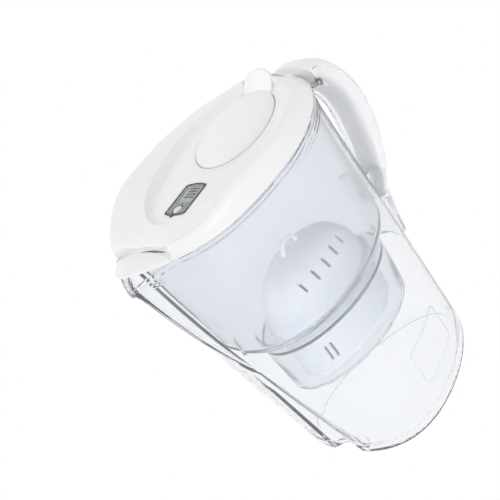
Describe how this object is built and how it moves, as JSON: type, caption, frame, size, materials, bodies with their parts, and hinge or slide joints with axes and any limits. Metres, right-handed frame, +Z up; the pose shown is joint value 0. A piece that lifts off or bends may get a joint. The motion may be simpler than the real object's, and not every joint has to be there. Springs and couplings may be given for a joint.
{
  "type": "water filter pitcher",
  "caption": "Clear water pitcher with a loop handle, hanging funnel, lift-out filter cartridge, and a white lid with flip-up fill flap, hinged pour cover and filter-life display.",
  "frame": {"origin": "on the foot's underside, in the pitcher's plane of symmetry, 96 mm in front of the rear wall", "axes": "+X from the spout towards the handle, +Z up, +Y to the left of someone looking along +X from the spout"},
  "size_m": [0.2659, 0.142, 0.273],
  "materials": {
    "clear_plastic": "polished, clear, injection moulded",
    "white_plastic": "white, satin moulded",
    "frosted_plastic": "translucent, moulded",
    "mesh": "fine woven nylon",
    "granules": "loose granules",
    "seal_rubber": "soft moulded",
    "grey_plastic": "dark grey moulded",
    "window_plastic": "tinted clear",
    "lcd_glass": "grey-green display glass",
    "lcd_ink": "dark segments",
    "board": "green laminate",
    "contact_rubber": "striped contact rubber",
    "cell_steel": "nickel-plated",
    "spring_metal": "plated spring sheet",
    "button_steel": "silver lacquered"
  },
  "bodies": {
    "jug": {"jug_shell": "clear_plastic", "handle_rail": "clear_plastic", "handle_grip": "white_plastic"},
    "funnel": {"funnel": "frosted_plastic"},
    "cartridge": {"cartridge_housing": "white_plastic", "cartridge_cap": "frosted_plastic", "inlet_mesh": "mesh", "outlet_mesh": "mesh", "filter_media": "granules", "cartridge_seal": "seal_rubber"},
    "lid": {"lid_shell": "white_plastic", "indicator_case": "grey_plastic", "indicator_window": "window_plastic", "lcd_panel": "lcd_glass", "lcd_bars": "lcd_ink", "circuit_board": "board", "contact_strip": "contact_rubber", "coin_cell": "cell_steel", "cell_contact": "spring_metal"},
    "flap": {"flip_flap": "white_plastic"},
    "pour_cover": {"pour_cover": "white_plastic"},
    "button": {"start_button": "button_steel"}
  },
  "joints": [
    {"name": "funnel_lift", "type": "slide", "parent": "jug", "child": "funnel", "axis": [0, 0, 1], "range_m": [0, 0.19]},
    {"name": "lid_lift", "type": "slide", "parent": "funnel", "child": "lid", "axis": [0, 0, 1], "range_m": [0, 0.24]},
    {"name": "cartridge_lift", "type": "slide", "parent": "funnel", "child": "cartridge", "axis": [0, 0, 1], "range_m": [0, 0.18]},
    {"name": "flap_hinge", "type": "hinge", "parent": "lid", "child": "flap", "pos_m": [0.061, 0, 0.25827], "axis": [0, 1, 0], "range_deg": [0, 40]},
    {"name": "pour_cover_hinge", "type": "hinge", "parent": "lid", "child": "pour_cover", "pos_m": [-0.09993, 0, 0.2455], "axis": [0, 1, 0], "range_deg": [-13, 30]},
    {"name": "start_button_press", "type": "slide", "parent": "lid", "child": "button", "axis": [0.0136, 0, -0.9999], "range_m": [0, 0.0006], "stiffness_N_per_m": 1500}
  ],
  "couplings": [
    {"joint": "cartridge_lift", "follows": "lid_lift", "ratio": 0.75}
  ]
}
